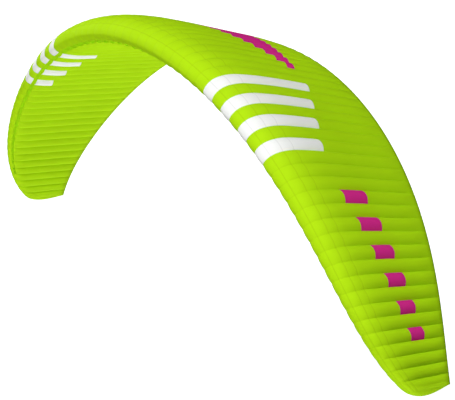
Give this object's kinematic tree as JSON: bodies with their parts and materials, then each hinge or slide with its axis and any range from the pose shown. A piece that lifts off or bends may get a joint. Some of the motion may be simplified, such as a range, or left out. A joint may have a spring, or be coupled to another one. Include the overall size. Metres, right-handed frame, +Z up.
{
  "type": "paraglider wing",
  "caption": "Arched ram-air wing of inflated cloth cells, with a rolled nose, air intakes on the underside and rounded tips.",
  "frame": {"origin": "on the underside of the middle cell, on the symmetry plane, 30 percent of the chord behind the nose", "axes": "+Y from the nose to the trailing edge, +X along the span to the pilot's left, +Z up"},
  "size_m": [9.995, 2.2945, 3.5273],
  "materials": {
    "sail_lime": "coated ripstop, satin",
    "sail_white": "coated ripstop, satin",
    "sail_magenta": "coated ripstop, satin"
  },
  "bodies": {
    "root": {"nose_1": "sail_lime", "nose_2": "sail_lime", "nose_3": "sail_lime", "nose_4": "sail_lime", "nose_5": "sail_lime", "nose_6": "sail_lime", "nose_7": "sail_lime", "nose_8": "sail_lime", "nose_9": "sail_lime", "nose_10": "sail_lime", "nose_11": "sail_lime", "nose_12": "sail_lime", "nose_13": "sail_lime", "upper_1": "sail_lime", "upper_2": "sail_lime", "upper_3": "sail_lime", "upper_4": "sail_lime", "upper_5": "sail_lime", "upper_6": "sail_lime", "upper_7": "sail_lime", "upper_8": "sail_lime", "upper_9": "sail_lime", "upper_10": "sail_lime", "upper_11": "sail_lime", "lower_1": "sail_lime", "lower_2": "sail_lime", "lower_3": "sail_lime", "lower_4": "sail_lime", "lower_5": "sail_lime", "lower_6": "sail_lime", "lower_7": "sail_lime", "lower_8": "sail_lime", "lower_9": "sail_lime", "lower_10": "sail_lime", "lower_11": "sail_lime", "tip_left": "sail_lime", "tip_right": "sail_lime", "rib_left_1": "sail_lime", "rib_left_2": "sail_lime", "rib_left_3": "sail_lime", "rib_left_4": "sail_lime", "rib_left_5": "sail_lime", "rib_left_6": "sail_lime", "rib_left_7": "sail_lime", "rib_left_8": "sail_lime", "rib_left_9": "sail_lime", "rib_left_10": "sail_lime", "rib_left_11": "sail_lime", "rib_right_1": "sail_lime", "rib_right_2": "sail_lime", "rib_right_3": "sail_lime", "rib_right_4": "sail_lime", "rib_right_5": "sail_lime", "rib_right_6": "sail_lime", "rib_right_7": "sail_lime", "rib_right_8": "sail_lime", "rib_right_9": "sail_lime", "rib_right_10": "sail_lime", "rib_right_11": "sail_lime"}
  },
  "joints": []
}
